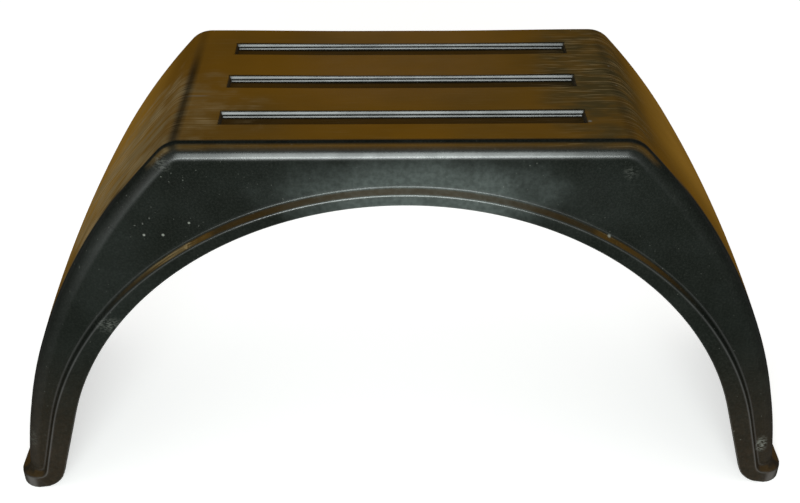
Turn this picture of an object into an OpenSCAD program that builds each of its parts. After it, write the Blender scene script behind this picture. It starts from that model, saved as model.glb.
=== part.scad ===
// Trailer mudguard for a single wheel: one moulded shell of black plastic.
// It stands on its two feet. X runs along it, -Y is the outer side that faces the road side,
// +Y is the open side against the trailer, and Z = 0 is the level of the feet.
// The wall is one sheet of even thickness that is folded into a flat top, two curved treads,
// a flat side skirt with a round wheel arch, and a stepped-out rim round the trimmed edge.

/* [Overall size] */
// Length over the lips of the two feet
guard_l = 780; // [750:1:810]
// Width of the treads, from the skirt to the trimmed edge at the trailer
tread_w = 242; // [220:1:300]
// Height from the feet to the top panel
guard_h = 392; // [380:1:400]
// Thickness of the moulded wall
wall = 4; // [3:0.5:5]

/* [Treads and skirt] */
// Radius of each curved tread, seen from the side
tread_r = 637; // [620:1:660]
// Depth of a tread's centre of curvature below the feet
tread_drop = 56; // [50:1:62]
// Radius between the top panel and a tread
corner_r = 28; // [24:1:34]
// Radius of the long outer edge, where the top and treads turn down into the skirt
edge_r = 14; // [10:1:18]

/* [Wheel arch] */
// Radius of the wheel opening
arch_r = 333; // [325:1:336]
// Height of the wheel opening's centre above the feet
arch_z = 4; // [0:1:8]
// Radius of the trimmed edge at the inner corner of a foot
foot_r = 29; // [24:1:32]

/* [Rim] */
// How far the rim stands out from the skirt
rim_step = 7; // [5:0.5:9]
// How far the ledge above the rim slopes down on its way out
ledge_fall = 3; // [2:0.5:4]
// Radius of the rim's upper edge over the wheel
ledge_r = 356; // [352:1:360]
// How far the centre of the rim's upper edge lies below the wheel opening's centre
ledge_drop = 12; // [9:1:15]
// Height of the rim across the foot
foot_rim = 14; // [12:1:18]
// Radius of the ledge at the inner corner of a foot
ledge_foot_r = 10; // [8:1:13]
// Radius of a foot's outer corner, seen from above
lip_r = 20; // [17:1:22]
// How far the lip of a foot stands out from the tread
lip_out = 6.5; // [5:0.5:8]

/* [Grooves in the top] */
// Number of grooves
groove_n = 3; // [1:1:4]
// Distance of a groove's end from the start of the round corner
groove_end = 28; // [15:1:60]
// Width of a groove at the top
groove_w = 25; // [18:1:30]
// Depth of a groove
groove_d = 6.5; // [4:0.5:8]
// Draft of a groove's walls, in degrees
groove_draft = 16; // [5:1:25]
// Distance between the middles of neighbouring grooves
groove_pitch = 72; // [60:1:74]
// Distance of the first groove's middle from the skirt
groove_start = 53; // [45:1:60]

/* [Hidden] */
$fn = 96;
eps = 0.01;

// Overlap between neighbouring plates of the wall, so that they join into one solid
lap = 2;
// Where the rim blends from a curve into a straight, the straight lies this much inside the
// curve, like a mould's witness line, and runs into it by seam_lap
seam = 0.02;
seam_lap = 0.3;
// Half of the length, where the lips of the feet end
lip_x = guard_l / 2;
// X of the foot's corners: the foot's outer corner and the two fillets inside it are centred on it
foot_x = lip_x - lip_r;
// Distance of a tread's centre of curvature past the middle, in whole millimetres
tread_back = round(sqrt(pow(tread_r, 2) - pow(tread_drop, 2)) - lip_x + lip_out);
// The whole guard is centred across its width, rim included
shift_y = (rim_step - tread_w) / 2;
// Distance below the feet to which cutting shapes reach
below = 60;

// Corner between the top panel and a tread: centre, and the angle at which the tread takes over
corner_z = guard_h - corner_r;
corner_x = sqrt(pow(tread_r - corner_r, 2) - pow(corner_z + tread_drop, 2)) - tread_back;
corner_a = atan2(corner_z + tread_drop, corner_x + tread_back);
groove_l = 2 * (corner_x - groove_end);
// Angle by which the corner's sweep overshoots its wedge
corner_over = 10;
// Angle at which a tread has come down past the rim of the foot
tread_end_a = asin((tread_drop + foot_rim / 2) / tread_r);

// Centre of the rim's upper edge over the wheel, and of its fillet in a foot
ledge_z = arch_z - ledge_drop;
ledge_foot_z = foot_rim + ledge_foot_r;
// How far the ledge of a foot runs in under the tread's wall
band_reach = rim_step + lap;
// Slope of the ledge, and the cosine of its angle
ledge_slope = ledge_fall / rim_step;
ledge_c = rim_step / norm([rim_step, ledge_fall]);
// Height at which the walls above a foot's ledge end, inside the ledge
wall_end_z = foot_rim + ledge_slope * band_reach - wall / ledge_c;
// Stubs of rim face and of skirt that the swept ledge carries at its two sides
face_stub = 6;
skirt_stub = 7;

// Angle at which a straight leg leaves an arch of radius r and centre height z for a fillet of
// radius fr whose centre is at height fz above the foot: the line touches both circles
function leg_a(r, z, fr, fz) =
    atan2(fz - z, foot_x) + acos((r + fr) / norm([foot_x, fz - z]));
function on_circle(x, z, r, a) = [x + r * cos(a), z + r * sin(a)];
function mirrored(p) = [-p[0], p[1]];

ledge_a = leg_a(ledge_r, ledge_z, ledge_foot_r, ledge_foot_z);

// Area under an arch with straight legs and round inner corners at the feet, seen from the side
module arch_area(r, z, fr, fz) {
    a = leg_a(r, z, fr, fz);
    leg_top = on_circle(0, z, r - seam, a);
    leg_end = on_circle(foot_x, fz, -fr - seam, a);
    knee = [foot_x, fz];
    foot = [foot_x, -below];
    difference() {
        union() {
            translate([0, z]) circle(r);
            polygon([leg_top, leg_end, knee, foot,
                     mirrored(foot), mirrored(knee), mirrored(leg_end), mirrored(leg_top)]);
        }
        for (side = [-1, 1]) translate([side * foot_x, fz]) circle(fr);
    }
}

// The wheel opening, and the area inside the rim's upper edge moved out by s
module opening_area() arch_area(arch_r, arch_z, foot_r, foot_r);
module ledge_area(s) arch_area(ledge_r + s, ledge_z, ledge_foot_r - s, ledge_foot_z);

// Area of the whole guard seen from the side, with its edge moved in by k
module side_area(k) {
    tip = corner_r * 2;
    knee = [corner_x, corner_z];
    out = on_circle(corner_x, corner_z, tip, corner_a);
    far = [guard_l, -below];
    intersection() {
        translate([-tread_back, -tread_drop]) circle(tread_r - k);
        translate([tread_back, -tread_drop]) circle(tread_r - k);
        polygon([[corner_x, guard_h - k], knee, out, far,
                 mirrored(far), mirrored(out), mirrored(knee), [-corner_x, guard_h - k]]);
    }
    for (side = [-1, 1]) translate([side * corner_x, corner_z]) circle(corner_r - k - seam);
}

// Section of the folded wall: x is the depth below its outer face, y runs across the guard
module fold_section() {
    translate([0, edge_r]) square([wall, tread_w - edge_r]);
    translate([edge_r, 0]) square([lap, wall]);
    intersection() {
        square(edge_r);
        translate([edge_r, edge_r]) difference() {
            circle(edge_r);
            circle(edge_r - wall);
        }
    }
}

// Rounds to a thousandth, so that sweeps drawn in different frames meet exactly
function snap(v) = round(v * 1000) / 1000;
// How far the ledge's face that lies so deep in the wall has risen where it passes depth y
function step_x(y, deep) = snap((y + rim_step) * ledge_slope - deep / ledge_c);
// Section of the stepped wall: x grows from the rim's edge towards the skirt, y runs across.
// Every face lies k inside the wall's own faces.
module step_section(k = 0) {
    rim_out = k - rim_step;
    rim_in = wall - rim_step - k;
    deep = wall - k;
    polygon([[-face_stub, rim_out], [step_x(rim_out, k), rim_out], [step_x(k, k), k], [skirt_stub, k],
             [skirt_stub, deep], [step_x(deep, deep), deep], [step_x(rim_in, deep), rim_in],
             [-face_stub, rim_in]]);
}

// Section of the foot's band: x grows inwards from the lip's outer face, y is the height
module band_section() {
    polygon([[0, 0], [0, foot_rim], [band_reach, foot_rim + step_x(lap, 0)],
             [band_reach, foot_rim + step_x(lap, wall)],
             [wall, foot_rim + step_x(wall - rim_step, wall)], [wall, 0]]);
}

// Turns a section about an axis across the guard, from angle a0 to a1; x of the section points in
module swing_in(x, z, r, a0, a1)
    translate([x, 0, z]) rotate([90, 0, 0]) rotate_extrude(angle = a1 - a0, start = a0)
        translate([r, 0]) rotate(180) children();
// The same with x of the section pointing out
module swing_out(x, z, r, a0, a1)
    translate([x, 0, z]) rotate([90, 0, 0]) rotate_extrude(angle = a1 - a0, start = a0)
        translate([r, 0]) mirror([0, 1]) children();
// A flat plate from y to y + wall with the outline of its 2-D child
module plate(y)
    translate([0, y + wall, 0]) rotate([90, 0, 0]) linear_extrude(wall) children();
module both_ends() {
    children();
    mirror([1, 0, 0]) children();
}

// Moves to the corner's centre by whole millimetres and then by the rest, which keeps it exact
module at_corner()
    translate([floor(corner_x), 0, floor(corner_z)])
        translate([corner_x - floor(corner_x), 0, corner_z - floor(corner_z)]) children();
// The corner's own wedge: from the line through both centres of curvature up to the vertical
module corner_wedge() {
    line = [corner_x + tread_back, corner_z + tread_drop] / 5;
    translate([0, 2 * guard_l, 0]) rotate([90, 0, 0])
        linear_extrude(4 * guard_l) polygon([[0, 0], line, [0, line[1]]]);
}

// Top panel and treads with the round edge along their outer side. Each half is cut off at the
// middle, and its corner and tread meet on the wedge's own plane.
module folded_wall() {
    both_ends() intersection() {
        translate([0, -guard_l, -guard_l]) cube([guard_l, 3 * guard_l, 3 * guard_l]);
        union() {
            at_corner() {
                translate([-guard_l, 0, corner_r]) rotate([0, 90, 0])
                    linear_extrude(guard_l) fold_section();
                intersection() {
                    swing_in(0, 0, corner_r, corner_a - corner_over, 90 + corner_over)
                        fold_section();
                    corner_wedge();
                }
            }
            difference() {
                swing_in(-tread_back, -tread_drop, tread_r, tread_end_a, corner_a + 1)
                    fold_section();
                at_corner() corner_wedge();
                translate([0, -eps, wall_end_z - below]) cube([guard_l, guard_l, below]);
            }
        }
    }
}

// Flat skirt between the round edge and the ledge of the rim
module skirt() {
    plate(0) difference() {
        side_area(edge_r + lap / 2);
        ledge_area(skirt_stub - lap);
        translate([-guard_l, wall_end_z - 2 * below]) square([2 * guard_l, 2 * below]);
    }
}

// Ledge that steps the wall out to the rim: over the wheel, down the legs and into the feet
module ledge() {
    swing_out(0, ledge_z, ledge_r, ledge_a, 180 - ledge_a) step_section();
    leg_len = sqrt(pow(foot_x, 2) + pow(ledge_foot_z - ledge_z, 2)
                   - pow(ledge_r + ledge_foot_r, 2));
    both_ends() {
        translate([0, 0, ledge_z]) rotate([0, -ledge_a, 0])
            translate([ledge_r, 0, -leg_len - seam_lap])
                linear_extrude(leg_len + 2 * seam_lap) step_section(seam);
        difference() {
            swing_in(foot_x, ledge_foot_z, ledge_foot_r, 180 + ledge_a, 275) step_section();
            translate([foot_x, -guard_l, -below]) cube(2 * guard_l);
        }
    }
}

// Flat face of the rim, cut out along the wheel opening and level with the feet
module rim_face() {
    plate(-rim_step) difference() {
        ledge_area(lap - face_stub);
        opening_area();
        translate([-guard_l, -guard_l]) square([2 * guard_l, guard_l]);
    }
}

// Turned-out band along the lower end of a tread, which the guard stands on
module foot_band() {
    both_ends() {
        translate([foot_x, lip_r - rim_step, 0]) rotate_extrude(angle = 90, start = -90)
            translate([lip_r, 0]) mirror([1, 0]) band_section();
        translate([lip_x, tread_w, 0]) rotate([90, 0, 0])
            linear_extrude(tread_w + rim_step - lip_r) mirror([1, 0]) band_section();
    }
}

// Body of a groove with its faces moved out by k and its bottom at depth d: drafted on all sides
module groove_body(k, d) {
    spread = k / cos(groove_draft);
    taper = d * tan(groove_draft);
    half_l = groove_l / 2 + spread;
    half_w = groove_w / 2 + spread;
    intersection() {
        rotate([90, 0, 0]) translate([0, 0, -groove_w]) linear_extrude(2 * groove_w)
            polygon([[-half_l, 0], [half_l, 0], [half_l - taper, -d], [taper - half_l, -d]]);
        rotate([90, 0, 90]) translate([0, 0, -groove_l]) linear_extrude(2 * groove_l)
            polygon([[-half_w, 0], [half_w, 0], [half_w - taper, -d], [taper - half_w, -d]]);
    }
}
module at_grooves()
    for (i = [0 : groove_n - 1])
        translate([0, groove_start + i * groove_pitch, guard_h]) children();

// The whole guard: one moulding, with the grooves pressed into its top
module mudguard() {
    color([0.06, 0.06, 0.055]) translate([0, shift_y, 0]) difference() {
        union() {
            folded_wall();
            skirt();
            ledge();
            rim_face();
            foot_band();
            translate([0, 0, -eps]) at_grooves() groove_body(wall, groove_d + wall);
        }
        translate([0, 0, eps]) at_grooves() groove_body(0, groove_d + eps);
    }
}

mudguard();
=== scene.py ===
# %% [markdown]
# # A moulded plastic mudguard for a trailer
# The real guard is one sheet of black polyethylene, formed over a mould and trimmed. It has a
# flat top with three pressed grooves, two long curved treads, a flat skirt with a round wheel
# arch, and a rim that steps out along the trimmed edge and turns out under the feet.
# This lesson builds the visible shell over the exact solid, then gives it its worn finish.

# %% Load the exact model
import math

import bmesh
import bpy
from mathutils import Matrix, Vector


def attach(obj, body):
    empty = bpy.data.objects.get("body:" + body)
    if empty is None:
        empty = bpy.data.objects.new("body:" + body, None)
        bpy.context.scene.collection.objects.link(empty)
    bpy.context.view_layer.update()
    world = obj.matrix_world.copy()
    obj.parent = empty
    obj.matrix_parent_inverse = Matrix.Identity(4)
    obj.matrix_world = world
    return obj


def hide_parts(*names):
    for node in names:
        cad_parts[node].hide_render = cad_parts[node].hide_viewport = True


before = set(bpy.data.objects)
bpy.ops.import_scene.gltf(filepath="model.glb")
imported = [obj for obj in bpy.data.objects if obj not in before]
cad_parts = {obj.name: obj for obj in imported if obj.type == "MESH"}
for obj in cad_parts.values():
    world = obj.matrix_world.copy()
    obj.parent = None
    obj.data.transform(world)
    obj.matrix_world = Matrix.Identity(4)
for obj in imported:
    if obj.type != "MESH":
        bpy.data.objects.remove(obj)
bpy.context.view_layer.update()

# %% [markdown]
# ## The guard's measures
# All lengths are in metres, in the frame of the exact model: X along the guard, -Y out of the
# skirt, Z up from the feet. The side view is made of arcs, so each curve is kept as a centre
# and a radius, as it would be on the maker's drawing.

# %% Measures
WALL = 0.004
SKIRT_Y = -0.1175
RIM_OUT = 0.007
BACK_Y = 0.1245
TOP_Z = 0.392

TREAD_R = 0.637
TREAD_CENTRE = (-0.251, -0.056)
CORNER_R = 0.028
CORNER_CENTRE = (0.190, 0.364)
FOLD_R = 0.014

LIP_X = 0.390
LIP_R = 0.020
FOOT_X = LIP_X - LIP_R

LEDGE_Z = -0.008
LEDGE_R = 0.356
LEDGE_FALL = 0.003
LEDGE_FOOT_R = 0.010
FOOT_RIM = 0.014
FOOT_Z = FOOT_RIM + LEDGE_FOOT_R

ARCH_Z = 0.004
ARCH_R = 0.333
ARCH_FOOT_R = 0.029

CREASE_R = 0.003
BROW_R = 0.0025
SLOPE = LEDGE_FALL / RIM_OUT

GROOVE_HALF_L = 0.162
GROOVE_W = 0.025
GROOVE_D = 0.0065
GROOVE_DRAFT = math.tan(math.radians(16))
GROOVE_Y = [SKIRT_Y + 0.053 + 0.072 * k for k in range(3)]
print("grooves at y =", [round(y, 4) for y in GROOVE_Y])


# %% [markdown]
# ## Curves of the side view
# A leg of the arch is a straight line that touches the arch's circle above and the foot's
# round corner below. Its lean follows from the two radii, so it is worked out here instead of
# being drawn by eye. Everything is drawn for the right half and mirrored later.

# %% Arch curves
def leg_lean(radius, centre_z, foot_r, foot_z):
    """Angle at which the straight leg leaves the arch."""
    rise = foot_z - centre_z
    return math.atan2(rise, FOOT_X) + math.acos((radius + foot_r) / math.hypot(FOOT_X, rise))


def arch_curve(share, radius, centre_z, foot_r, foot_z):
    """Point of an arch: share 0..1 is the foot's corner, 1..2 the leg, 2..3 the round arch."""
    lean = leg_lean(radius, centre_z, foot_r, foot_z)
    leg_low = Vector((FOOT_X - foot_r * math.cos(lean), foot_z - foot_r * math.sin(lean)))
    leg_high = Vector((radius * math.cos(lean), centre_z + radius * math.sin(lean)))
    if share < 1:
        turn = 1.5 * math.pi + (lean - math.pi / 2) * share
        return Vector((FOOT_X + foot_r * math.cos(turn), foot_z + foot_r * math.sin(turn)))
    if share < 2:
        return leg_low.lerp(leg_high, share - 1)
    turn = lean + (math.pi / 2 - lean) * (share - 2)
    return Vector((radius * math.cos(turn), centre_z + radius * math.sin(turn)))


def ledge_curve(share, out):
    """The rim's upper edge, moved away from the wheel by out."""
    return arch_curve(share, LEDGE_R + out, LEDGE_Z, LEDGE_FOOT_R - out, FOOT_Z)


def trim_curve(share):
    """The trimmed edge of the wheel opening."""
    return arch_curve(share, ARCH_R, ARCH_Z, ARCH_FOOT_R, ARCH_FOOT_R)


LEAN = leg_lean(LEDGE_R, LEDGE_Z, LEDGE_FOOT_R, FOOT_Z)
print("the leg leans", round(math.degrees(LEAN), 2), "degrees")


# %% [markdown]
# ## The outline over the wheel
# The folded wall follows a tread's arc, the round corner and the flat top. Stations lie close
# together where the shape turns: at the foot, on the corner and at the grooves' ends. A
# station is an angle on an arc, or an X on the flat, so the same list serves every ring.

# %% Stations along the outline
CORNER_A = math.atan2(CORNER_CENTRE[1] - TREAD_CENTRE[1], CORNER_CENTRE[0] - TREAD_CENTRE[0])
FOOT_STEPS = (0, 0.001, 0.002, 0.0032, 0.0048, 0.007, 0.010, 0.0145, 0.021, 0.030)
TREAD_STEPS, CORNER_STEPS, TOP_STEPS = 36, 9, 15
HOLD = 0.0022


def outline_stations(groove_half_l):
    """(kind, value) from the foot to the middle; a tread's value is a share of its arc."""
    arc = TREAD_R * (CORNER_A - math.asin((FOOT_RIM - TREAD_CENTRE[1]) / TREAD_R))
    start = FOOT_STEPS[-1] / arc
    shares = [step / arc for step in FOOT_STEPS]
    shares += [start + (1 - start) * k / TREAD_STEPS for k in range(1, TREAD_STEPS + 1)]
    stations = [("tread", share) for share in shares]
    stations += [("corner", k / CORNER_STEPS) for k in range(1, CORNER_STEPS + 1)]
    flat = [groove_half_l + 0.012, groove_half_l + HOLD, groove_half_l]
    inner = groove_half_l - 0.005
    flat += [inner * (1 - k / TOP_STEPS) for k in range(TOP_STEPS + 1)]
    return stations + [("top", x) for x in flat]


def outline_point(station, inset, low_a):
    """Point of the outline, inset into the guard; low_a is where the tread's arc starts."""
    kind, value = station
    if kind == "tread":
        a = low_a + (CORNER_A - low_a) * value
        r = TREAD_R - inset
        return Vector((TREAD_CENTRE[0] + r * math.cos(a), TREAD_CENTRE[1] + r * math.sin(a)))
    if kind == "corner":
        a = CORNER_A + (math.pi / 2 - CORNER_A) * value
        r = CORNER_R - inset
        return Vector((CORNER_CENTRE[0] + r * math.cos(a), CORNER_CENTRE[1] + r * math.sin(a)))
    return Vector((value, TOP_Z - inset))


print(len(outline_stations(GROOVE_HALF_L)), "stations in half of the outline")


# %% [markdown]
# ## The ledge under the wall
# The ledge starts in a crease at the wall and ends in a brow at the rim's face. Over the wheel
# it follows the arch. Under a tread it runs along the foot, where its height depends on how
# far the wall stands back from the lip, so each foot station solves for the point where wall
# and ledge meet. The depth is 0 for the outer skin and the wall's thickness for the inner one.

# %% Crease, brow and trimmed edge
FACE_COS = RIM_OUT / math.hypot(RIM_OUT, LEDGE_FALL)
LIP_CENTRE_Y = SKIRT_Y - RIM_OUT + LIP_R


def rise(reach, depth):
    """Height of the ledge above the rim's edge, this far in from the rim's face."""
    return reach * SLOPE - depth / FACE_COS


def in_view(point, y):
    """A side view's point at a depth across the guard."""
    return Vector((point[0], y, point[1]))


def lip_point(x, y, inset, z):
    """The lip's point that is nearest to a place on the wall, seen from above."""
    if y >= LIP_CENTRE_Y:
        return Vector((LIP_X - inset, y, z))
    out = Vector((x - FOOT_X, y - LIP_CENTRE_Y)).normalized() * (LIP_R - inset)
    return Vector((FOOT_X + out.x, LIP_CENTRE_Y + out.y, z))


def side_section(share, depth):
    """Crease, brow, trimmed edge and the wall's direction above the crease, along the arch."""
    y = SKIRT_Y + depth
    crease = in_view(ledge_curve(share, rise(RIM_OUT + depth, depth)), y)
    brow = in_view(ledge_curve(share, rise(depth, depth)), y - RIM_OUT)
    trim = in_view(trim_curve(share), y - RIM_OUT)
    above = in_view(ledge_curve(share, 0.006) - ledge_curve(share, 0), 0).normalized()
    return crease, brow, trim, above


def foot_section(inset, y, depth):
    """The same along the foot, for the ring of the wall at this inset and depth across."""
    z = FOOT_RIM
    for _ in range(8):
        x = TREAD_CENTRE[0] + math.sqrt((TREAD_R - inset) ** 2 - (z - TREAD_CENTRE[1]) ** 2)
        if x < FOOT_X:
            corner_r = LEDGE_FOOT_R - rise(y - SKIRT_Y + RIM_OUT, depth)
            z = FOOT_Z - math.sqrt(corner_r ** 2 - (FOOT_X - x) ** 2)
        else:
            edge = lip_point(x, y, 0, 0)
            z = FOOT_RIM + rise(math.hypot(edge.x - x, edge.y - y), depth)
    crease = Vector((x, y, z))
    if x < FOOT_X:
        turn = math.atan2(z - FOOT_Z, x - FOOT_X) + 2 * math.pi
        share = (turn - 1.5 * math.pi) / (LEAN - math.pi / 2)
        _, brow, trim, _ = side_section(share, depth)
        return crease, brow, trim, in_view((FOOT_X - x, FOOT_Z - z), 0).normalized()
    brow = lip_point(x, y, depth, FOOT_RIM + rise(depth, depth))
    trim = lip_point(x, y, depth, 0)
    a = math.atan2(z - TREAD_CENTRE[1], x - TREAD_CENTRE[0])
    return crease, brow, trim, in_view((-math.sin(a), math.cos(a)), 0)


def rounded(before, corner, after, radius, steps):
    """Points of a round corner of this radius between two straight stretches."""
    a, b = (before - corner).normalized(), (after - corner).normalized()
    half = a.angle(b) / 2
    centre = corner + (a + b).normalized() * (radius / math.sin(half))
    first = corner + a * (radius / math.tan(half)) - centre
    last = corner + b * (radius / math.tan(half)) - centre
    return [centre + first.slerp(last, k / steps).normalized() * radius
            for k in range(steps + 1)]


def step_down(section, crease_r, brow_r):
    """The rim's own points below one station: round crease, ledge, round brow, rim face."""
    crease, brow, trim, above = section
    points = rounded(crease + above, crease, brow, crease_r, 4)
    points += rounded(crease, brow, trim, brow_r, 4)
    down = (trim - brow).normalized()
    return points + [points[-1] + down * 0.0012, trim - down * 0.0015, trim]


probe = step_down(side_section(3, 0), CREASE_R, BROW_R)
print("rim over the wheel, from crease to trimmed edge (mm):")
print([(round(p.y * 1000, 1), round(p.z * 1000, 1)) for p in probe])


# %% [markdown]
# ## Pulling the skin
# A skin could be cut out of solids, but round creases and soft folds need clean rings of
# faces. So a row of edges is laid along the crease over the wheel and pulled, ring by ring,
# up the skirt, round the long fold and across the tread to the edge at the trailer. The free
# border at the bottom is then pulled down over the ledge and the rim in the same way.

# %% A pull
def pull(bm, row, places):
    """Extrudes a row of vertices along its edges and moves the new row to its places."""
    edges = [bm.edges.get((a, b)) for a, b in zip(row, row[1:])]
    made = bmesh.ops.extrude_edge_only(bm, edges=edges)["geom"]
    new = {v for v in made if isinstance(v, bmesh.types.BMVert)}
    pulled = [next(v for v in (e.other_vert(old) for e in old.link_edges) if v in new)
              for old in row]
    for vert, place in zip(pulled, places):
        vert.co = place
    return pulled


def lay_row(bm, places):
    """A first row of vertices joined by edges."""
    row = [bm.verts.new(place) for place in places]
    for a, b in zip(row, row[1:]):
        bm.edges.new((a, b))
    return row


# %% [markdown]
# ## Rings of the wall
# Each ring is known by how far it lies inside the outline and how far across the guard. The
# skirt's rings run between the crease and the fold, with one ring close to either end so that
# the shading stays flat in between. Rings also lie on both sides of each groove.

# %% Rings
FOLD_STEPS = 8
CORNER_SHARE = 0.55


def wall_rings(depth, groove_half_w):
    """(inset, y) of the rings from the start of the fold to the trimmed edge."""
    rings = []
    for k in range(FOLD_STEPS + 1):
        turn = math.pi / 2 * k / FOLD_STEPS
        r = FOLD_R - depth
        rings.append((FOLD_R - r * math.sin(turn), SKIRT_Y + FOLD_R - r * math.cos(turn)))
    lines = [SKIRT_Y + FOLD_R + 0.0015, SKIRT_Y + FOLD_R + 0.009]
    for middle in GROOVE_Y:
        lines += [middle - groove_half_w - HOLD, middle - groove_half_w,
                  middle - groove_half_w + 0.005, middle + groove_half_w - 0.005,
                  middle + groove_half_w, middle + groove_half_w + HOLD]
        if middle != GROOVE_Y[-1]:
            lines += [middle + 0.026, middle + 0.036, middle + 0.046]
    lines += [BACK_Y - 0.010, BACK_Y - 0.0016, BACK_Y]
    return rings + [(depth, y) for y in lines]


def ledge_share(point):
    """Share of the ledge's curve that lies on the ray from its centre to a point."""
    turn = math.atan2(point[1] - LEDGE_Z, point[0])
    if turn >= LEAN:
        return 2 + (turn - LEAN) / (math.pi / 2 - LEAN)
    leg = (ledge_curve(2, 0) - ledge_curve(1, 0)).length
    share = 2 - LEDGE_R * math.tan(LEAN - turn) / leg
    if share >= 1:
        return share
    low, high = 0.0, 1.0
    for _ in range(30):
        middle = (low + high) / 2
        place = ledge_curve(middle, LEDGE_FALL)
        if math.atan2(place[1] - LEDGE_Z, place[0]) < turn:
            low = middle
        else:
            high = middle
    return low


def skirt_shares(stations, inset, low_a):
    """The crease's share for each station; the first is moved up to the foot's corner."""
    foot = outline_point(stations[0], inset, low_a)
    shares = []
    for station in stations:
        point = outline_point(station, inset, low_a)
        near = max(0.0, 1 - (point[1] - foot[1]) / 0.0048)
        share = ledge_share(point)
        shares.append(share + (CORNER_SHARE - ledge_share(foot)) * near)
    return shares


# %% [markdown]
# ## One skin, made twice
# The outer and the inner skin are the same pulls with different depths, so they match vertex
# for vertex and are joined along their borders into one closed wall. The grooves are pressed
# into both skins with an inset that also moves the faces down, which gives the drafted walls.

# %% Half a skin
def half_skin(depth, groove_half_l, groove_half_w, crease_r, brow_r):
    """The right half of one skin, from the trimmed edge of the rim to the one at the trailer."""
    bm = bmesh.new()
    stations = outline_stations(groove_half_l)
    rings = wall_rings(depth, groove_half_w)
    up = crease_r * math.tan(math.acos(SLOPE / math.hypot(1, SLOPE)) / 2)
    sections, low_as = [], []
    for inset, y in rings:
        section = foot_section(inset, y, depth)
        foot = section[0] + section[3] * up
        sections.append(section)
        low_as.append(math.atan2(foot.z - TREAD_CENTRE[1], foot.x - TREAD_CENTRE[0]))

    fold = [in_view(outline_point(s, rings[0][0], low_as[0]), rings[0][1]) for s in stations]
    shares = skirt_shares(stations, rings[0][0], low_as[0])
    starts = [side_section(share, depth) for share in shares]
    crease = [crease + above * up for crease, _, _, above in starts]
    row = lay_row(bm, crease)
    columns = [[vert] for vert in row]
    gaps = [(b - a).length for a, b in zip(crease, fold)]
    for share in (None, 0.15, 0.38, 0.62, 0.85, None):
        near = share is None and len(columns[0]) == 1
        cuts = [(min(0.0022, 0.2 * gap) / gap if near else 1 - min(0.0018, 0.15 * gap) / gap)
                if share is None else 0.2 + 0.6 * share for gap in gaps]
        row = pull(bm, row, [a.lerp(b, cut) for a, b, cut in zip(crease, fold, cuts)])
        for column, vert in zip(columns, row):
            column.append(vert)
    for (inset, y), low_a in zip(rings, low_as):
        places = [in_view(outline_point(s, inset, low_a), y) for s in stations]
        row = pull(bm, row, places)
        for column, vert in zip(columns, row):
            column.append(vert)

    border = list(reversed(columns[0])) + [column[0] for column in columns[1:]]
    foot_sections = list(reversed(sections))
    skirt_low = len(columns[0]) - len(rings)
    low_share = (math.atan2(sections[0][0].z - FOOT_Z, sections[0][0].x - FOOT_X)
                 + math.pi / 2) / (LEAN - math.pi / 2)
    for k in range(skirt_low - 1, 0, -1):
        cut = (columns[0][k].co - crease[0]).length / gaps[0]
        foot_sections.append(side_section(CORNER_SHARE + (low_share - CORNER_SHARE) * cut, depth))
    downs = [step_down(s, crease_r, brow_r) for s in foot_sections + starts]
    for level in range(1, len(downs[0])):
        border = pull(bm, border, [down[level] for down in downs])
    return bm


def whole_skin(depth, groove_half_l, groove_half_w, crease_r, brow_r):
    """Half a skin with its mirror image and the three grooves."""
    bm = half_skin(depth, groove_half_l, groove_half_w, crease_r, brow_r)
    bmesh.ops.mirror(bm, geom=bm.verts[:] + bm.edges[:] + bm.faces[:], axis="X",
                     merge_dist=0.00001)
    bmesh.ops.recalc_face_normals(bm, faces=bm.faces[:])
    top = max(bm.faces, key=lambda f: f.calc_center_median().z)
    if (top.normal.z < 0) == (depth == 0):
        bmesh.ops.reverse_faces(bm, faces=bm.faces[:])
    press = GROOVE_D if depth else -GROOVE_D
    for middle in GROOVE_Y:
        inside = [f for f in bm.faces
                  if f.calc_center_median().z > TOP_Z - WALL - 0.001
                  and abs(f.calc_center_median().x) < groove_half_l
                  and abs(f.calc_center_median().y - middle) < groove_half_w]
        bmesh.ops.inset_region(bm, faces=inside, thickness=GROOVE_D * GROOVE_DRAFT,
                               depth=press, use_even_offset=True, use_boundary=True)
    return bm


outer = whole_skin(0, GROOVE_HALF_L, GROOVE_W / 2, CREASE_R, BROW_R)
spread = (WALL + GROOVE_D) * GROOVE_DRAFT - GROOVE_D * GROOVE_DRAFT
inner_grow = WALL / math.cos(math.atan(GROOVE_DRAFT)) - spread
inner = whole_skin(WALL, GROOVE_HALF_L + inner_grow, GROOVE_W / 2 + inner_grow, 0.003, 0.0006)
print("outer skin:", len(outer.verts), "vertices,", len(outer.faces), "faces")
print("inner skin:", len(inner.verts), "vertices,", len(inner.faces), "faces")


# %% [markdown]
# ## Closing the wall
# The two skins have borders of the same number of edges, so a bridge between the borders makes
# the trimmed edge. A trimmed sheet has its arris knocked off, and the groove's corners are soft
# where hot plastic was drawn into the mould, so both get small bevels of their own.

# %% Join the skins and soften the edges
def border_edges(bm):
    return [e for e in bm.edges if len(e.link_faces) == 1]


def join_skins(outer, inner):
    """Both skins in one bmesh, bridged along their borders."""
    holder = bpy.data.meshes.new("holder")
    inner.to_mesh(holder)
    outer.from_mesh(holder)
    bpy.data.meshes.remove(holder)
    bridge = bmesh.ops.bridge_loops(outer, edges=border_edges(outer))
    print("trimmed edge:", len(bridge["faces"]), "faces")
    return outer


def soften(bm, edges, width, steps):
    bmesh.ops.bevel(bm, geom=edges, offset=width, offset_type="OFFSET", segments=steps,
                    profile=0.5, affect="EDGES", material=-1, clamp_overlap=False)


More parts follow.
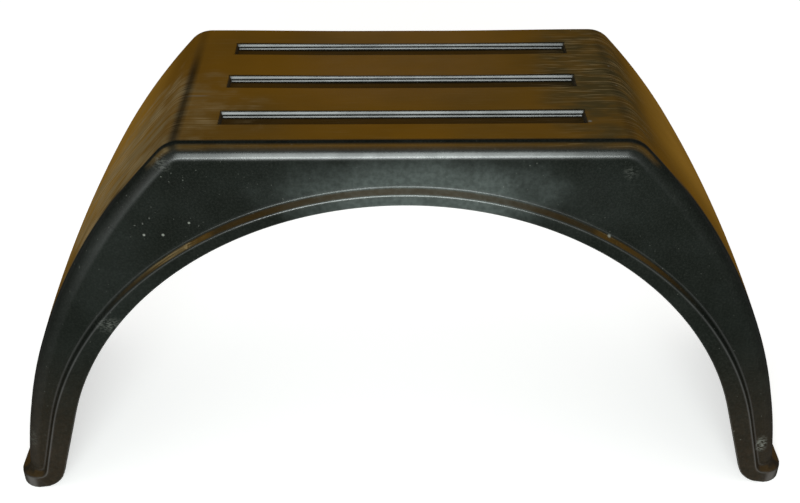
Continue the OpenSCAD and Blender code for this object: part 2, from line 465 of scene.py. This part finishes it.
def groove_edges(bm, least_turn):
    """Edges of the pressed grooves, which are the only sharp ones in the top."""
    return [e for e in bm.edges if len(e.link_faces) == 2
            and all(v.co.z > TOP_Z - WALL - GROOVE_D - 0.001 for v in e.verts)
            and all(abs(v.co.x) < GROOVE_HALF_L + 0.006 for v in e.verts)
            and e.calc_face_angle(0) > least_turn]


GROOVE_SOFT = 0.0009
TRIM_SOFT = 0.0006
soften(outer, groove_edges(outer, 0.6), GROOVE_SOFT, 3)
soften(inner, groove_edges(inner, 0.6), GROOVE_SOFT, 3)
shell = join_skins(outer, inner)
arris = [e for e in shell.edges if len(e.link_faces) == 2 and e.calc_face_angle(0) > 1.2]
soften(shell, arris, TRIM_SOFT, 2)
bmesh.ops.recalc_face_normals(shell, faces=shell.faces[:])
print("open edges left:", len(border_edges(shell)), "- volume in cm3:",
      round(shell.calc_volume() * 1e6, 1))

# %% [markdown]
# ## Where the sheet has relaxed
# A formed sheet is never quite true. On this guard the treads bow outward a few millimetres
# between the skirt and the trailer's edge, and the long flat top has sunk a little. Moving the
# finished vertices by a smooth amount keeps the wall's thickness, and the outer size stays.

# %% Bow the treads and let the top sink
TREAD_BOW = 0.0042
TOP_SAG = 0.0012
MIDDLE_Y = (SKIRT_Y + BACK_Y) / 2


def ease(value, low, high):
    """0 below low, 1 above high, and a soft curve in between."""
    t = min(1.0, max(0.0, (value - low) / (high - low)))
    return t * t * (3 - 2 * t)


def across_share(y):
    """1 in the middle of the guard's width, 0 at the skirt and at the trailer's edge."""
    return max(0.0, 1 - ((y - MIDDLE_Y) / (BACK_Y - MIDDLE_Y)) ** 2)


for vert in shell.verts:
    x, y, z = vert.co
    side = math.copysign(1.0, x)
    ray = Vector((abs(x) - TREAD_CENTRE[0], z - TREAD_CENTRE[1]))
    if y > SKIRT_Y + FOLD_R and abs(x) > CORNER_CENTRE[0]:
        height = ease(z, 0.03, 0.16) * ease(TOP_Z - z, 0.012, 0.11)
        out = ray.normalized() * TREAD_BOW * across_share(y) * height
        vert.co += Vector((out.x * side, 0, out.y))
    elif z > TOP_Z - 0.02:
        hollow = ease(CORNER_CENTRE[0] - abs(x), 0.0, 0.15) * ease(y, SKIRT_Y + FOLD_R, MIDDLE_Y)
        vert.co.z -= TOP_SAG * hollow
print("treads bowed by", TREAD_BOW * 1000, "mm, top sunk by", TOP_SAG * 1000, "mm")

# %% Make it a piece of the scene
for face in shell.faces:
    face.smooth = True
guard_mesh = bpy.data.meshes.new("mudguard_shell")
shell.to_mesh(guard_mesh)
shell.free()
guard = bpy.data.objects.new("mudguard_shell", guard_mesh)
bpy.context.scene.collection.objects.link(guard)
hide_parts("mudguard")
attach(guard, "root")
print(len(guard_mesh.polygons), "faces in the shell")

# %% [markdown]
# ## Where the weather reaches, and painted light with it
# Brown road dust has settled on what faces the sky, on the top and the treads, and its brown
# also stands for a painted warm reflection in the glossy plastic. It stops in a soft dark line
# along every fold and at the top's corners, which is a painted dark reflection, and it is thin
# on the grooves' floors, which is painted shade. Rain has washed it thinner towards the feet.
# Scuffs follow the sheet round its corners. Both need to know the place on the sheet, so each
# vertex keeps it: one attribute is the share of dust with its painted light and shade, "gloss"
# the share of polish, "hidden" the side that faces the wheel, and "lay" the distance along
# the sheet and across it. Polish is strongest on folds, which hands and straps have polished
# by rubbing, and on the groove walls, which nothing touches.

# %% Mark the vertices
def along_sheet(x, z):
    """Distance from the middle of the top, measured along the folded wall."""
    reach = abs(x)
    if reach <= CORNER_CENTRE[0]:
        return x
    bend = math.pi / 2 - CORNER_A
    turn = math.atan2(z - CORNER_CENTRE[1], reach - CORNER_CENTRE[0])
    if turn > CORNER_A:
        length = CORNER_CENTRE[0] + CORNER_R * (math.pi / 2 - turn)
    else:
        turn = math.atan2(z - TREAD_CENTRE[1], reach - TREAD_CENTRE[0])
        length = CORNER_CENTRE[0] + CORNER_R * bend + TREAD_R * (CORNER_A - turn)
    return math.copysign(length, x)


def outward(point, normal):
    """1 on the side that looks away from the wheel, 0 on the hidden side."""
    return ease((point - Vector((0, 0.02, 0.08))).normalized().dot(normal), -0.25, 0.15)


def polish_share(point, normal, dust):
    """Share of polish: little on the flat skirt, most on folds and in the grooves' walls."""
    in_groove = abs(point.x) < GROOVE_HALF_L + 0.004 and point.y > GROOVE_Y[0] - 0.02
    if in_groove and point.z > 0.38:
        return 1.0 if -normal.y > 0.15 else 0.12
    turned = math.acos(max(-1.0, min(1.0, -normal.y)))
    fold = ease(turned, 0.02, 0.22) * (1 - ease(turned, 0.25, 1.05))
    if point.y > SKIRT_Y:
        fold *= 0.16 + 0.84 * ease(point.z, 0.20, 0.36)
        fold *= 1 - 0.85 * ease(point.x, 0.185, 0.215)
        fold *= 1 - 0.42 * ease(abs(point.x), 0.09, 0.185)
    elif point.y > SKIRT_Y - 0.0036:
        fold *= 0.45
    return (0.035 + 0.80 * fold) * (1 - 0.95 * dust)


def dust_and_sheen_share(point, normal):
    """Dust with painted warm reflection: all over the top, a painted reflection band on the front
    fold, a little on the ledge.
    """
    turned = math.acos(max(-1.0, min(1.0, -normal.y)))
    # Dust on what faces up, its brown also a painted warm reflection; its edge is a painted dark
    # line.
    sky = ease(turned, 1.38, 1.53) * ease(0.30 - normal.y, -0.10, 0.12)
    # A painted brown reflection band across the middle of the front fold.
    painted_fold_band = 0.42 * ease(turned, 0.62, 0.92) * (1 - ease(turned, 1.00, 1.18))
    # The ledge's brown: dust with a painted reflection of the brown above.
    on_ledge = 0.45 * ease(normal.z, 0.55, 0.85) * (1 - ease(point.y, SKIRT_Y, SKIRT_Y + 0.001))
    return max(sky, painted_fold_band * ease(point.z, 0.366, 0.380), on_ledge)


dust_and_painted_light, gloss, hidden_side, lay = [], [], [], []
for vert in guard_mesh.vertices:
    point, normal = vert.co, vert.normal
    outer_share = outward(point, normal)
    length = along_sheet(point.x, point.z)
    # Painted dark reflection along the top's corners, deeper on the left towards the front.
    corner_shade_depth = 0.80 - 0.55 * ease(point.y, 0.02, 0.09) if length < 0 else 0.25
    corner = 1 - corner_shade_depth * ease(1 - abs(abs(length) - 0.197) / 0.008, 0.0, 0.9)
    # Painted shade: thinner dust, so darker, on the grooves' floors.
    sunk = ease(TOP_Z - 0.0030 - point.z, 0.0, 0.002) if abs(point.x) < 0.17 else 0
    washed = 0.30 + 0.70 * ease(point.z, 0.03, 0.30)
    dust_and_painted_light.append(outer_share * dust_and_sheen_share(point, normal) * corner * washed * (1 - 0.60 * sunk))
    gloss.append(outer_share * polish_share(point, normal, dust_and_painted_light[-1]))
    hidden_side.append(1 - outer_share)
    lay.append((length, point.y, point.z))

for name, values in (("dust_and_painted_light", dust_and_painted_light), ("gloss", gloss), ("hidden", hidden_side)):
    layer = guard_mesh.attributes.new(name, "FLOAT", "POINT")
    layer.data.foreach_set("value", values)
layer = guard_mesh.attributes.new("lay", "FLOAT_VECTOR", "POINT")
layer.data.foreach_set("vector", [value for place in lay for value in place])
print("dust on", round(sum(dust_and_painted_light) / len(dust_and_painted_light), 2), "of the vertices")

# %% [markdown]
# ## Small helpers for materials
# The finish is built from shader node groups, each a small recipe with named inputs. A recipe
# can be used again with other numbers, which is how a real finish repeats: the same scratches,
# denser here and finer there.

# %% Node helpers
def recipe(title, inputs, outputs):
    """A shader node group with named inputs (name, kind, value) and outputs (name, kind)."""
    tree = bpy.data.node_groups.new(title, "ShaderNodeTree")
    for name, kind, value in inputs:
        socket = tree.interface.new_socket(name, in_out="INPUT", socket_type=kind)
        if value is not None:
            socket.default_value = value
    for name, kind in outputs:
        tree.interface.new_socket(name, in_out="OUTPUT", socket_type=kind)
    return tree, tree.nodes.new("NodeGroupInput"), tree.nodes.new("NodeGroupOutput")


def feed(tree, socket, value):
    """Links a socket to a node's output, or writes a plain value on it."""
    if isinstance(value, bpy.types.NodeSocket):
        tree.links.new(value, socket)
    else:
        socket.default_value = value


def calc(tree, operation, *values):
    """A Math node; returns its result."""
    node = tree.nodes.new("ShaderNodeMath")
    node.operation = operation
    for socket, value in zip(node.inputs, values):
        feed(tree, socket, value)
    return node.outputs["Value"]


def stretch(tree, where, scale):
    """A place multiplied by a scale for each axis."""
    node = tree.nodes.new("ShaderNodeVectorMath")
    node.operation = "MULTIPLY"
    feed(tree, node.inputs[0], where)
    feed(tree, node.inputs[1], scale)
    return node.outputs["Vector"]


def cloudy(tree, where, scale, detail):
    """A noise value around 0.5."""
    node = tree.nodes.new("ShaderNodeTexNoise")
    feed(tree, node.inputs["Vector"], where)
    feed(tree, node.inputs["Scale"], scale)
    node.inputs["Detail"].default_value = detail
    return node.outputs["Fac"]


def remap(tree, value, from_low, from_high, to_low, to_high):
    """A soft Map Range."""
    node = tree.nodes.new("ShaderNodeMapRange")
    node.interpolation_type = "SMOOTHSTEP"
    for name, number in (("Value", value), ("From Min", from_low), ("From Max", from_high),
                         ("To Min", to_low), ("To Max", to_high)):
        feed(tree, node.inputs[name], number)
    return node.outputs["Result"]


def blend(tree, amount, under, over):
    """Colour over colour by an amount."""
    node = tree.nodes.new("ShaderNodeMix")
    node.data_type = "RGBA"
    feed(tree, node.inputs["Factor"], amount)
    feed(tree, node.inputs[6], under)
    feed(tree, node.inputs[7], over)
    return node.outputs[2]


def use(tree, group, **values):
    """Puts a recipe into a tree; its inputs are given by name."""
    node = tree.nodes.new("ShaderNodeGroup")
    node.node_tree = group
    for name, value in values.items():
        feed(tree, node.inputs[name.replace("_", " ").title()], value)
    return node.outputs[0]


# %% [markdown]
# ## Recipe: the moulded surface
# The sheet was drawn over a mould, so it is smooth to the finger but not to the eye: long soft
# waves bend the reflections, and a fine grain keeps them from being mirror-like. Heights are
# real ones in metres, so the same recipe holds for a big and a small guard.

# %% Moulded surface
VECTOR, FLOAT, COLOUR = "NodeSocketVector", "NodeSocketFloat", "NodeSocketColor"
moulded, given, result = recipe(
    "moulded surface",
    [("Where", VECTOR, None), ("Wave Height", FLOAT, 0.0004), ("Grain Height", FLOAT, 0.00002)],
    [("Height", FLOAT)])
waves = calc(moulded, "MULTIPLY", cloudy(moulded, given.outputs["Where"], 11, 1),
             given.outputs["Wave Height"])
grain = calc(moulded, "MULTIPLY", cloudy(moulded, given.outputs["Where"], 620, 3),
             given.outputs["Grain Height"])
feed(moulded, result.inputs["Height"], calc(moulded, "ADD", waves, grain))

# %% [markdown]
# ## Recipe: drag marks
# Guards are stacked and slid over each other, and road grit drags along the treads. The marks
# are thin, long and nearly parallel, and they come in bunches. A noise squeezed across its
# length gives the lines, and a broad one decides where the bunches are.

# %% Drag marks
dragged, given, result = recipe(
    "drag marks",
    [("Where", VECTOR, None), ("Fineness", FLOAT, 300.0), ("Length", FLOAT, 9.0),
     ("Density", FLOAT, 0.5)],
    [("Amount", FLOAT)])
parts = dragged.nodes.new("ShaderNodeSeparateXYZ")
feed(dragged, parts.inputs[0], given.outputs["Where"])
drift = calc(dragged, "MULTIPLY", cloudy(dragged, given.outputs["Where"], 9, 1), 0.006)
across = calc(dragged, "MULTIPLY", calc(dragged, "ADD", parts.outputs["Y"], drift),
              given.outputs["Fineness"])
along = calc(dragged, "MULTIPLY", parts.outputs["X"], given.outputs["Length"])
lines = dragged.nodes.new("ShaderNodeCombineXYZ")
feed(dragged, lines.inputs["X"], along)
feed(dragged, lines.inputs["Y"], across)
limit = calc(dragged, "SUBTRACT", 0.64, calc(dragged, "MULTIPLY", given.outputs["Density"], 0.2))
marks = remap(dragged, cloudy(dragged, lines.outputs[0], 1, 2),
              limit, calc(dragged, "ADD", limit, 0.10), 0, 1)
bunches = remap(dragged, cloudy(dragged, given.outputs["Where"], 14, 2), 0.36, 0.62, 0.15, 1)
feed(dragged, result.inputs["Amount"], calc(dragged, "MULTIPLY", marks, bunches))

# %% [markdown]
# ## Recipe: a worn place, also used for painted sheen
# Wear has its places: a corner that was set down, a spot that was gripped. This is a soft blob
# round a centre, with a reach of its own along each axis and an uneven border. The same blob
# also lays the painted reflections on the skirt.

# %% Patch for wear and painted sheen
wear_and_sheen_patch, given, result = recipe(
    "wear and sheen patch",
    [("Where", VECTOR, None), ("Centre", VECTOR, (0, 0, 0)), ("Reach", VECTOR, (0.1, 0.1, 0.1)),
     ("Raggedness", FLOAT, 0.5)],
    [("Amount", FLOAT)])
offset = wear_and_sheen_patch.nodes.new("ShaderNodeVectorMath")
offset.operation = "SUBTRACT"
feed(wear_and_sheen_patch, offset.inputs[0], given.outputs["Where"])
feed(wear_and_sheen_patch, offset.inputs[1], given.outputs["Centre"])
shrunk = wear_and_sheen_patch.nodes.new("ShaderNodeVectorMath")
shrunk.operation = "DIVIDE"
feed(wear_and_sheen_patch, shrunk.inputs[0], offset.outputs["Vector"])
feed(wear_and_sheen_patch, shrunk.inputs[1], given.outputs["Reach"])
far = wear_and_sheen_patch.nodes.new("ShaderNodeVectorMath")
far.operation = "LENGTH"
feed(wear_and_sheen_patch, far.inputs[0], shrunk.outputs["Vector"])
ragged = calc(wear_and_sheen_patch, "MULTIPLY",
              calc(wear_and_sheen_patch, "SUBTRACT", cloudy(wear_and_sheen_patch, given.outputs["Where"], 38, 3), 0.5),
              given.outputs["Raggedness"])
feed(wear_and_sheen_patch, result.inputs["Amount"],
     remap(wear_and_sheen_patch, calc(wear_and_sheen_patch, "ADD", far.outputs["Value"], ragged), 0.25, 1.0, 1, 0))
print("recipes:", [tree.name for tree in bpy.data.node_groups])

# %% [markdown]
# ## Weathered black polyethylene, with painted reflections
# Polyethylene stays black all through, so wear never shows another material below. What is
# seen is black plastic with a thin polish, brown dust where the sky reaches, paler marks where
# the dust was dragged or the plastic was scuffed, and a painted grey reflection on the skirt.
# The dust's brown also holds a painted warm reflection, golden on the treads, and painted dark
# lines along the folds and in the grooves. The polish is a coat whose weight follows the bare
# plastic, so the top under its dust stays dull under any light.

# %% The material and the places on it
weathered_and_sheened = bpy.data.materials.new("black_polyethylene_with_painted_sheen")
weathered_and_sheened.use_nodes = True
tree = weathered_and_sheened.node_tree
shader = tree.nodes["Principled BSDF"]
place = tree.nodes.new("ShaderNodeTexCoord").outputs["Object"]


def kept(name, output):
    node = tree.nodes.new("ShaderNodeAttribute")
    node.attribute_name = name
    return node.outputs[output]


dust_and_light_share, gloss_share, sheet = kept("dust_and_painted_light", "Fac"), kept("gloss", "Fac"), kept("lay", "Vector")

# %% Painted grey reflection, mottle and specks on the bare plastic
BLACK = (0.0035, 0.0044, 0.0034, 1)
SHEEN_AND_MOTTLE_GREY = (0.060, 0.070, 0.066, 1)
CHALK = (0.16, 0.165, 0.145, 1)
# Painted reflection: the grey patch over the arch and the one by the left leg.
painted_centre_reflection = use(tree, wear_and_sheen_patch, where=place, centre=(0.012, -0.118, 0.345),
                  reach=(0.155, 0.08, 0.046), raggedness=0.45)
painted_left_sheen = use(tree, wear_and_sheen_patch, where=place, centre=(-0.262, -0.118, 0.262),
                reach=(0.05, 0.05, 0.10), raggedness=0.6)
right_dust = use(tree, wear_and_sheen_patch, where=place, centre=(0.160, -0.118, 0.335),
                 reach=(0.12, 0.06, 0.045), raggedness=0.6)
mottle = remap(tree, cloudy(tree, place, 26, 4), 0.35, 0.75, 0.0, 0.04)
fine_mottle = remap(tree, cloudy(tree, place, 230, 4), 0.30, 0.72, 0.62, 1.0)
# Mostly painted reflection, with random mottle and a little of the right-hand patch.
sheen_and_mottle = calc(tree, "ADD", calc(tree, "MULTIPLY", painted_centre_reflection, 0.68), mottle)
sheen_and_mottle = calc(tree, "ADD", sheen_and_mottle, calc(tree, "MULTIPLY", painted_left_sheen, 0.05))
sheen_and_mottle = calc(tree, "ADD", sheen_and_mottle, calc(tree, "MULTIPLY", right_dust, 0.04))
sheen_and_mottle = calc(tree, "MULTIPLY", sheen_and_mottle, fine_mottle)
ROAD_DIRT = (0.0230, 0.0150, 0.0090, 1)
height_of = tree.nodes.new("ShaderNodeSeparateXYZ")
feed(tree, height_of.inputs[0], place)
low_down = remap(tree, height_of.outputs["Z"], 0.0, 0.20, 0.62, 0.0)
low_down = calc(tree, "MULTIPLY", low_down, fine_mottle)
bare = blend(tree, low_down, blend(tree, sheen_and_mottle, BLACK, SHEEN_AND_MOTTLE_GREY), ROAD_DIRT)
specks = remap(tree, cloudy(tree, place, 330, 1), 0.735, 0.80, 0, 0.55)
flecks = calc(tree, "MULTIPLY", specks, remap(tree, cloudy(tree, place, 7, 2), 0.4, 0.7, 0.2, 1))
bare = blend(tree, calc(tree, "MULTIPLY", flecks, 0.6), bare, CHALK)

# %% Brown dust on the top and the treads, with a painted warm reflection in its colour
# The brown is dust and a painted warm reflection together.
DUST_AND_WARM_SHEEN = (0.132, 0.063, 0.0060, 1)
PALE_DUST = (0.240, 0.175, 0.085, 1)
GREY_DUST = (0.052, 0.038, 0.014, 1)
GOLD_SHEEN_AND_DUST = (0.268, 0.140, 0.020, 1)
patchy = remap(tree, cloudy(tree, sheet, 17, 4), 0.25, 0.75, 0.88, 1.0)
dust_and_sheen_tone = blend(tree, remap(tree, cloudy(tree, sheet, 7, 3), 0.35, 0.7, 0, 0.35),
                  DUST_AND_WARM_SHEEN, GREY_DUST)
right_end = use(tree, wear_and_sheen_patch, where=sheet, centre=(0.180, 0.01, 0.39),
                reach=(0.075, 0.22, 0.30), raggedness=0.5)
smeared = remap(tree, cloudy(tree, stretch(tree, sheet, (1.0, 2.2, 1.0)), 34, 4),
                0.34, 0.62, 0.45, 1.0)
dust_and_sheen_tone = blend(tree, calc(tree, "MULTIPLY", right_end, smeared), dust_and_sheen_tone, GREY_DUST)
on_sheet = tree.nodes.new("ShaderNodeSeparateXYZ")
feed(tree, on_sheet.inputs[0], sheet)
# Painted golden reflection on the treads past the corners, stronger at the back, with dust in it.
past_corner = remap(tree, calc(tree, "ABSOLUTE", on_sheet.outputs["X"]), 0.212, 0.300, 0, 1)
back_part = remap(tree, on_sheet.outputs["Y"], -0.115, -0.010, 0.10, 1)
gold_sheen_share = calc(tree, "MULTIPLY", past_corner, back_part)
dust_and_sheen_tone = blend(tree, calc(tree, "MULTIPLY", gold_sheen_share, 0.9), dust_and_sheen_tone, GOLD_SHEEN_AND_DUST)
left_tread = use(tree, wear_and_sheen_patch, where=sheet, centre=(-0.280, -0.050, 0.31),
                 reach=(0.160, 0.130, 0.32), raggedness=1.1)
right_tread = use(tree, wear_and_sheen_patch, where=sheet, centre=(0.30, 0.0, 0.30),
                  reach=(0.16, 0.16, 0.30), raggedness=0.4)
SCOURED_DUST = (0.158, 0.122, 0.060, 1)
scoured = remap(tree, cloudy(tree, stretch(tree, sheet, (0.35, 3.0, 1.0)), 30, 3),
                0.36, 0.62, 0.12, 0.80)
dust_and_sheen_tone = blend(tree, calc(tree, "MULTIPLY", left_tread, scoured), dust_and_sheen_tone, SCOURED_DUST)
dust_and_sheen_layer = blend(tree, calc(tree, "MULTIPLY", dust_and_light_share, patchy), bare, dust_and_sheen_tone)

# %% Drag marks in the dust
fine_marks = use(tree, dragged, where=sheet, fineness=820, length=26, density=0.38)
broad_marks = use(tree, dragged, where=sheet, fineness=260, length=11, density=0.25)
worn_most = calc(tree, "MAXIMUM", right_end, calc(tree, "MAXIMUM", left_tread,
                                                  calc(tree, "MULTIPLY", right_tread, 0.20)))
strength = calc(tree, "ADD", calc(tree, "MULTIPLY", worn_most, 0.8), 0.07)
dragged_most = calc(tree, "MULTIPLY", calc(tree, "MAXIMUM", fine_marks,
                                           calc(tree, "MULTIPLY", broad_marks, 0.6)), strength)
left_marks = use(tree, dragged, where=sheet, fineness=430, length=13, density=0.85)
left_marks = calc(tree, "MULTIPLY", left_marks, calc(tree, "MULTIPLY", left_tread, 1.0))
dragged_most = calc(tree, "MAXIMUM", dragged_most, left_marks)
near_film = remap(tree, dust_and_light_share, 0.0, 0.5, 0.0, 1.0)
finish = blend(tree, calc(tree, "MULTIPLY", dragged_most, near_film), dust_and_sheen_layer, PALE_DUST)

# %% Single nicks, as they lie on this guard
NICKS = [((0.1982, 0.0393, 0.392), 0.0022), ((0.1637, -0.0740, 0.392), 0.0026),
         ((0.1992, -0.0015, 0.392), 0.0024), ((-0.2124, -0.1175, 0.3035), 0.0018),
         ((-0.1883, -0.1175, 0.3160), 0.0016), ((-0.2292, -0.1175, 0.3036), 0.0016),
         ((0.1824, -0.1185, 0.3004), 0.0026), ((-0.2000, -0.1120, 0.3760), 0.0030)]
nick_sum = 0.0
for centre, size in NICKS:
    spot = use(tree, wear_and_sheen_patch, where=place, centre=centre, reach=(size, size, size),
               raggedness=0.3)
    nick_sum = calc(tree, "MAXIMUM", nick_sum, spot)
scratch = use(tree, wear_and_sheen_patch, where=sheet, centre=(-0.186, -0.0225, 0.392),
              reach=(0.013, 0.0012, 0.01), raggedness=0.2)
nick_sum = calc(tree, "MAXIMUM", nick_sum, calc(tree, "MULTIPLY", scratch, 0.6))
finish = blend(tree, calc(tree, "MULTIPLY", nick_sum, 0.75), finish, CHALK)

print(len(NICKS), "nicks")

# %% Scuffed places on the skirt
SCUFFED = [((0.3620, -0.1175, 0.0470), (0.008, 0.020, 0.013), 0.45),
           ((-0.2700, -0.1245, 0.2080), (0.022, 0.020, 0.012), 0.30),
           ((-0.2060, -0.1120, 0.3740), (0.012, 0.014, 0.010), 0.30),
           ((0.1950, -0.1150, 0.3650), (0.010, 0.010, 0.010), 0.22),
           ((-0.3700, -0.0900, 0.0600), (0.010, 0.060, 0.020), 0.22)]
upright = stretch(tree, place, (1.0, 0.0, 1.0))
turned_place = tree.nodes.new("ShaderNodeVectorRotate")
turned_place.rotation_type = "X_AXIS"
feed(tree, turned_place.inputs["Vector"], upright)
turned_place.inputs["Angle"].default_value = -math.pi / 2
crossing = use(tree, dragged, where=turned_place.outputs["Vector"], fineness=640, length=260,
               density=0.9)
for centre, reach, amount in SCUFFED:
    worn = use(tree, wear_and_sheen_patch, where=place, centre=centre, reach=reach, raggedness=0.9)
    worn = calc(tree, "MULTIPLY", worn, calc(tree, "MULTIPLY", crossing, amount))
    finish = blend(tree, worn, finish, CHALK)
grain_tone = remap(tree, cloudy(tree, place, 520, 2), 0.35, 0.75, 0.0, 0.022)
grain_tone = calc(tree, "MULTIPLY", grain_tone, calc(tree, "SUBTRACT", 1, dust_and_light_share))
finish = blend(tree, grain_tone, finish, CHALK)
print(len(SCUFFED), "scuffed places")

# %% Dirt on the hidden side
SPRAY = (0.042, 0.036, 0.027, 1)
hidden = remap(tree, kept("hidden", "Fac"), 0.0, 1.0, 0.0, 1.0)
spray = calc(tree, "MULTIPLY", hidden, remap(tree, cloudy(tree, place, 21, 5), 0.3, 0.7, 0.2, 0.9))
finish = blend(tree, spray, finish, SPRAY)
feed(tree, shader.inputs["Base Color"], finish)

# %% Roughness, polish and surface
rough = calc(tree, "ADD", 0.36, calc(tree, "MULTIPLY", dust_and_light_share, 0.26))
rough = calc(tree, "ADD", rough, calc(tree, "MULTIPLY", hidden, 0.25))
rough = calc(tree, "ADD", rough, remap(tree, cloudy(tree, place, 34, 4), 0.3, 0.7, -0.03, 0.05))
feed(tree, shader.inputs["Roughness"], rough)
polish = calc(tree, "MULTIPLY", gloss_share, remap(tree, cloudy(tree, place, 48, 3),
                                                   0.3, 0.7, 1.08, 0.82))
upper_line = use(tree, wear_and_sheen_patch, where=place, centre=(0, 0, TOP_Z - 0.0022),
                 reach=(0.9, 0.9, 0.0018), raggedness=0)
lower_line = use(tree, wear_and_sheen_patch, where=place, centre=(0, 0, TOP_Z - 0.0055),
                 reach=(0.9, 0.9, 0.0010), raggedness=0)
on_part = tree.nodes.new("ShaderNodeSeparateXYZ")
feed(tree, on_part.inputs[0], place)
past_fold = remap(tree, on_part.outputs["Y"], -0.096, -0.088, 0, 1)
between = calc(tree, "SUBTRACT", 1, calc(tree, "MAXIMUM", upper_line, lower_line))
polish = calc(tree, "MULTIPLY", polish, calc(tree, "SUBTRACT", 1,
                                             calc(tree, "MULTIPLY", between, past_fold)))
polish = calc(tree, "MULTIPLY", polish, calc(tree, "SUBTRACT", 1, nick_sum))
feed(tree, shader.inputs["Coat Weight"], polish)
shader.inputs["Coat Roughness"].default_value = 0.25
shader.inputs["Coat IOR"].default_value = 1.58
shader.inputs["IOR"].default_value = 1.5
shader.inputs["Specular IOR Level"].default_value = 0
height = use(tree, moulded, where=place, wave_height=0.0005, grain_height=0.000018)
marks_deep = calc(tree, "MULTIPLY", dragged_most, -0.00002)
bump = tree.nodes.new("ShaderNodeBump")
bump.inputs["Strength"].default_value = 1
bump.inputs["Distance"].default_value = 1
feed(tree, bump.inputs["Height"], calc(tree, "ADD", height, marks_deep))
feed(tree, shader.inputs["Normal"], bump.outputs["Normal"])
guard_mesh.materials.append(weathered_and_sheened)
print("material:", weathered_and_sheened.name, "with", len(tree.nodes), "nodes")

# %% [markdown]
# ## Floor and background
# The guard was photographed on white. A plain pale floor does that and keeps the soft shadow
# that says where the feet stand. It is white to the camera and in reflections by a little
# light of its own. The world is a plain pale grey that lights everything evenly.

# %% White floor and world
floor_mesh = bpy.data.meshes.new("floor")
bm = bmesh.new()
bmesh.ops.create_grid(bm, x_segments=1, y_segments=1, size=30)
bm.to_mesh(floor_mesh)
bm.free()
floor = bpy.data.objects.new("floor", floor_mesh)
bpy.context.scene.collection.objects.link(floor)
white = bpy.data.materials.new("white_floor")
white.use_nodes = True
nodes, links = white.node_tree.nodes, white.node_tree.links
nodes["Principled BSDF"].inputs["Base Color"].default_value = (0.84, 0.84, 0.84, 1)
nodes["Principled BSDF"].inputs["Roughness"].default_value = 0.9
nodes["Principled BSDF"].inputs["Specular IOR Level"].default_value = 0
nodes["Principled BSDF"].inputs["Emission Color"].default_value = (1, 1, 1, 1)
rays = nodes.new("ShaderNodeLightPath")
seen = calc(white.node_tree, "MAXIMUM", rays.outputs["Is Camera Ray"],
            calc(white.node_tree, "MAXIMUM", rays.outputs["Is Glossy Ray"],
                 rays.outputs["Is Transmission Ray"]))
feed(white.node_tree, nodes["Principled BSDF"].inputs["Emission Strength"],
     calc(white.node_tree, "MULTIPLY", seen, 0.46))
floor_mesh.materials.append(white)

world = bpy.data.worlds.new("studio")
bpy.context.scene.world = world
world.use_nodes = True
world.node_tree.nodes["Background"].inputs["Color"].default_value = (1, 0.985, 0.96, 1)
world.node_tree.nodes["Background"].inputs["Strength"].default_value = 0.60

# %% [markdown]
# ## Light
# The photograph shows a broad bright reflection on the front fold and a sharp one on the
# grooves' far walls, which face forward. Following the mirror from the camera through those
# faces leads to a wide soft light in front of the guard and a long low one under it.

# %% Soft lights
def soft_light(name, size, size_y, watts, place, target, colour):
    """A rectangular area light that looks at a target."""
    data = bpy.data.lights.new(name, "AREA")
    data.shape = "RECTANGLE"
    data.size, data.size_y, data.energy, data.color = size, size_y, watts, colour
    light = bpy.data.objects.new(name, data)
    light.location = place
    light.rotation_euler = (Vector(target) - Vector(place)).to_track_quat("-Z", "Y").to_euler()
    bpy.context.scene.collection.objects.link(light)


soft_light("front_box", 1.5, 1.30, 56, (-0.12, -2.3, 0.82), (0, 0, 0.37), (0.92, 1.0, 0.98))
soft_light("low_strip", 1.5, 0.22, 31, (-0.05, -2.3, 0.14), (0, 0, 0.37), (0.92, 1.0, 0.98))

# %% [markdown]
# ## Camera
# The camera stands where the photographer did: a metre in front of the guard, looking down
# at it by about a third of a right angle. The lens was solved from the guard's corners.

# %% Camera at the photograph's place
CAMERA_AT = Vector((-0.0137, -0.9902, 0.8781))
camera_data = bpy.data.cameras.new("camera")
camera_data.lens = 53.1
camera_data.sensor_width = 36
camera = bpy.data.objects.new("camera", camera_data)
camera.location = CAMERA_AT
camera.rotation_mode = "XYZ"
camera.rotation_euler = (math.radians(90 - 34.22), math.radians(-0.08), math.radians(-0.65))
bpy.context.scene.collection.objects.link(camera)
bpy.context.scene.camera = camera
bpy.context.scene.view_settings.view_transform = "Standard"
print("camera at", [round(v, 3) for v in CAMERA_AT])
